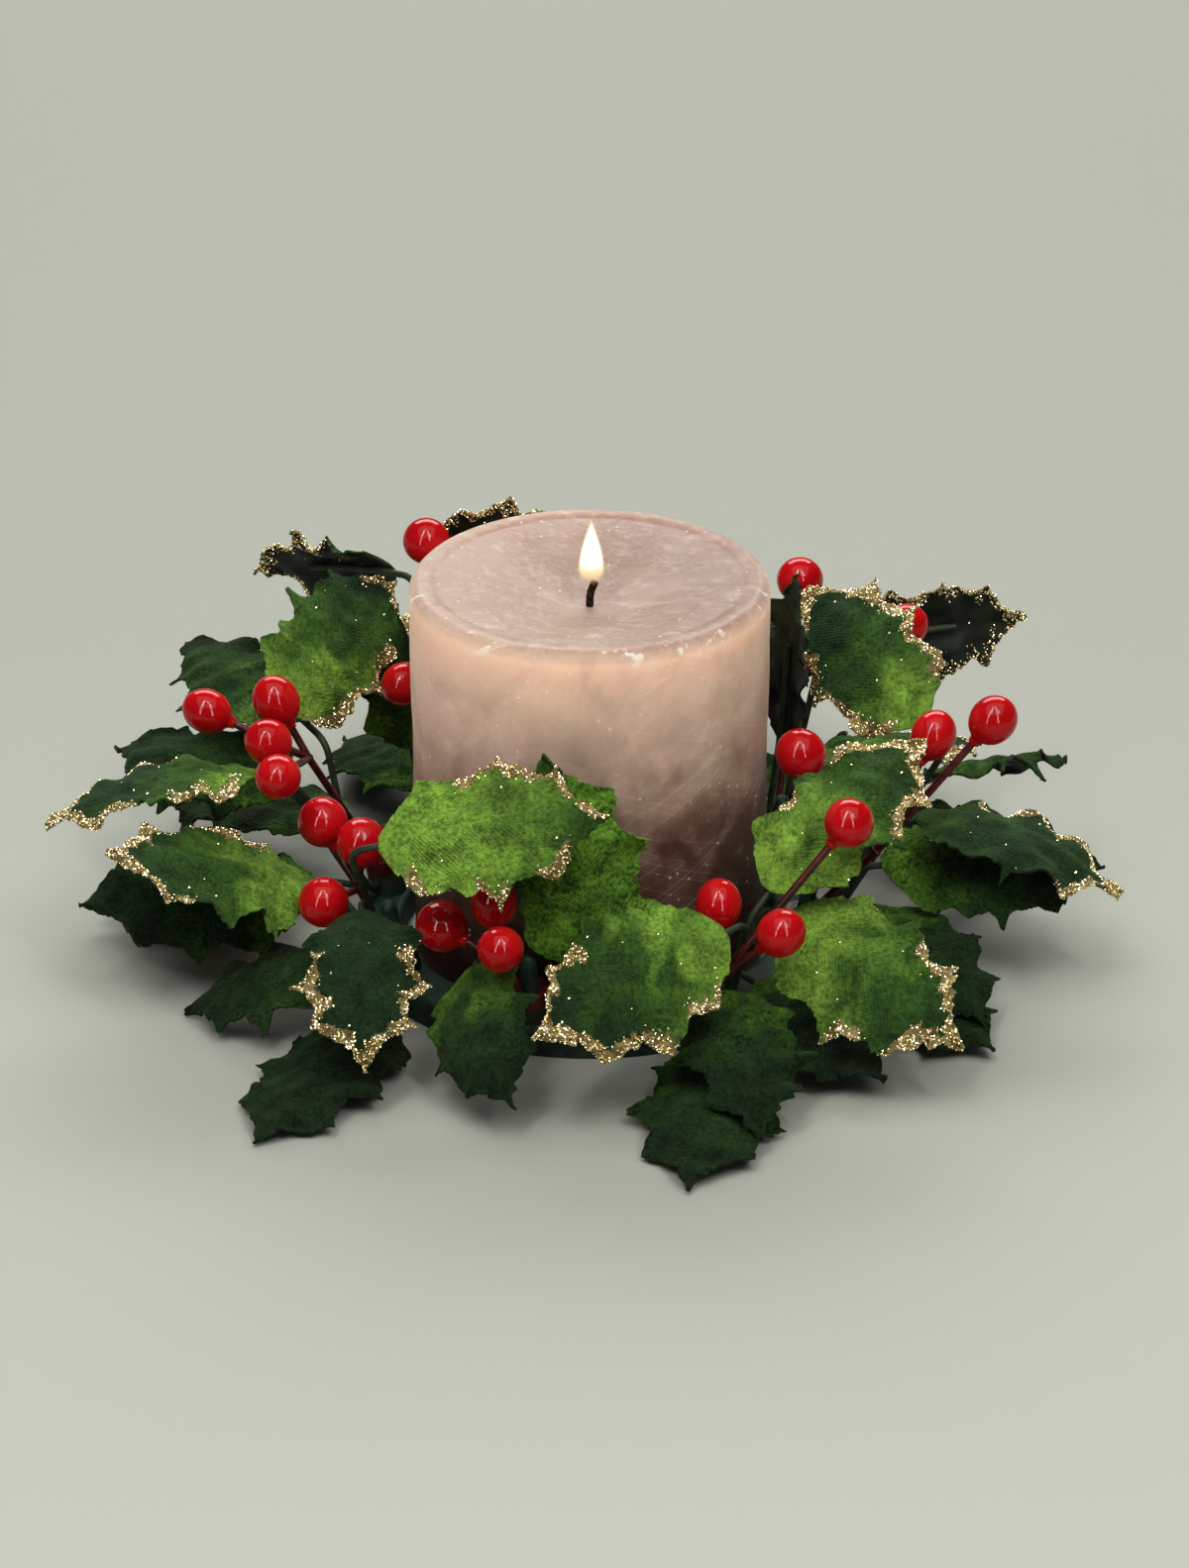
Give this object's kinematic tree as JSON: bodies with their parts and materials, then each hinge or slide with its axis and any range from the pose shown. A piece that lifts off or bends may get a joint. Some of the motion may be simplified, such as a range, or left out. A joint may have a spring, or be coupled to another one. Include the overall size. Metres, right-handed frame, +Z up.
{
  "type": "candle ring",
  "caption": "Low holly wreath that lies round a pillar candle: a moulded ring with pegs carries wired sprays of spiny cloth leaves, many with gilt edges, and glossy red berries.",
  "frame": {"origin": "on the table at the centre of the ring and of the candle's foot", "axes": "+Z up along the candle, -Y towards the front, +X to the right"},
  "size_m": [0.2087, 0.1946, 0.08],
  "materials": {
    "candle_wax": "mottled old-rose wax with a soft sheen",
    "wick": "charred braided cotton",
    "ring": "dull dark green moulding",
    "leaf_stem": "dark green coated wire",
    "plain_leaf": "stiffened velvety cloth, lighter at the foot",
    "gilt_leaf": "stiffened velvety cloth with gold glitter along the edges",
    "berry": "glossy red lacquer",
    "berry_stem": "glossy red-brown coated wire"
  },
  "bodies": {
    "ring": {"base_ring": "ring", "berries_a": "berry", "berries_b": "berry", "berries_c": "berry", "berries_d": "berry", "berries_e": "berry", "berries_f": "berry", "berries_g": "berry", "berries_h": "berry", "berry_stems": "berry_stem", "gilt_leaf_a1": "gilt_leaf", "gilt_leaf_a2": "gilt_leaf", "gilt_leaf_a6": "gilt_leaf", "gilt_leaf_b1": "gilt_leaf", "gilt_leaf_b4": "gilt_leaf", "gilt_leaf_c1": "gilt_leaf", "gilt_leaf_c4": "gilt_leaf", "gilt_leaf_c6": "gilt_leaf", "gilt_leaf_e1": "gilt_leaf", "gilt_leaf_e4": "gilt_leaf", "gilt_leaf_e6": "gilt_leaf", "gilt_leaf_f1": "gilt_leaf", "gilt_leaf_f2": "gilt_leaf", "gilt_leaf_g1": "gilt_leaf", "gilt_leaf_g4": "gilt_leaf", "gilt_leaf_h2": "gilt_leaf", "gilt_leaf_h3": "gilt_leaf", "leaf_stem_a": "leaf_stem", "leaf_stem_b": "leaf_stem", "leaf_stem_c": "leaf_stem", "leaf_stem_d": "leaf_stem", "leaf_stem_e": "leaf_stem", "leaf_stem_f": "leaf_stem", "leaf_stem_g": "leaf_stem", "leaf_stem_h": "leaf_stem", "plain_leaf_a3": "plain_leaf", "plain_leaf_a4": "plain_leaf", "plain_leaf_a5": "plain_leaf", "plain_leaf_b2": "plain_leaf", "plain_leaf_b3": "plain_leaf", "plain_leaf_b5": "plain_leaf", "plain_leaf_c2": "plain_leaf", "plain_leaf_c3": "plain_leaf", "plain_leaf_c5": "plain_leaf", "plain_leaf_d1": "plain_leaf", "plain_leaf_d2": "plain_leaf", "plain_leaf_e2": "plain_leaf", "plain_leaf_e3": "plain_leaf", "plain_leaf_e5": "plain_leaf", "plain_leaf_f3": "plain_leaf", "plain_leaf_f4": "plain_leaf", "plain_leaf_f5": "plain_leaf", "plain_leaf_f6": "plain_leaf", "plain_leaf_g2": "plain_leaf", "plain_leaf_g3": "plain_leaf", "plain_leaf_g5": "plain_leaf", "plain_leaf_h1": "plain_leaf", "plain_leaf_h4": "plain_leaf"},
    "candle": {"candle_wax": "candle_wax", "wick": "wick"}
  },
  "joints": [
    {"name": "candle_lift", "type": "slide", "parent": "ring", "child": "candle", "axis": [0, 0, 1], "range_m": [0, 0.1]}
  ]
}
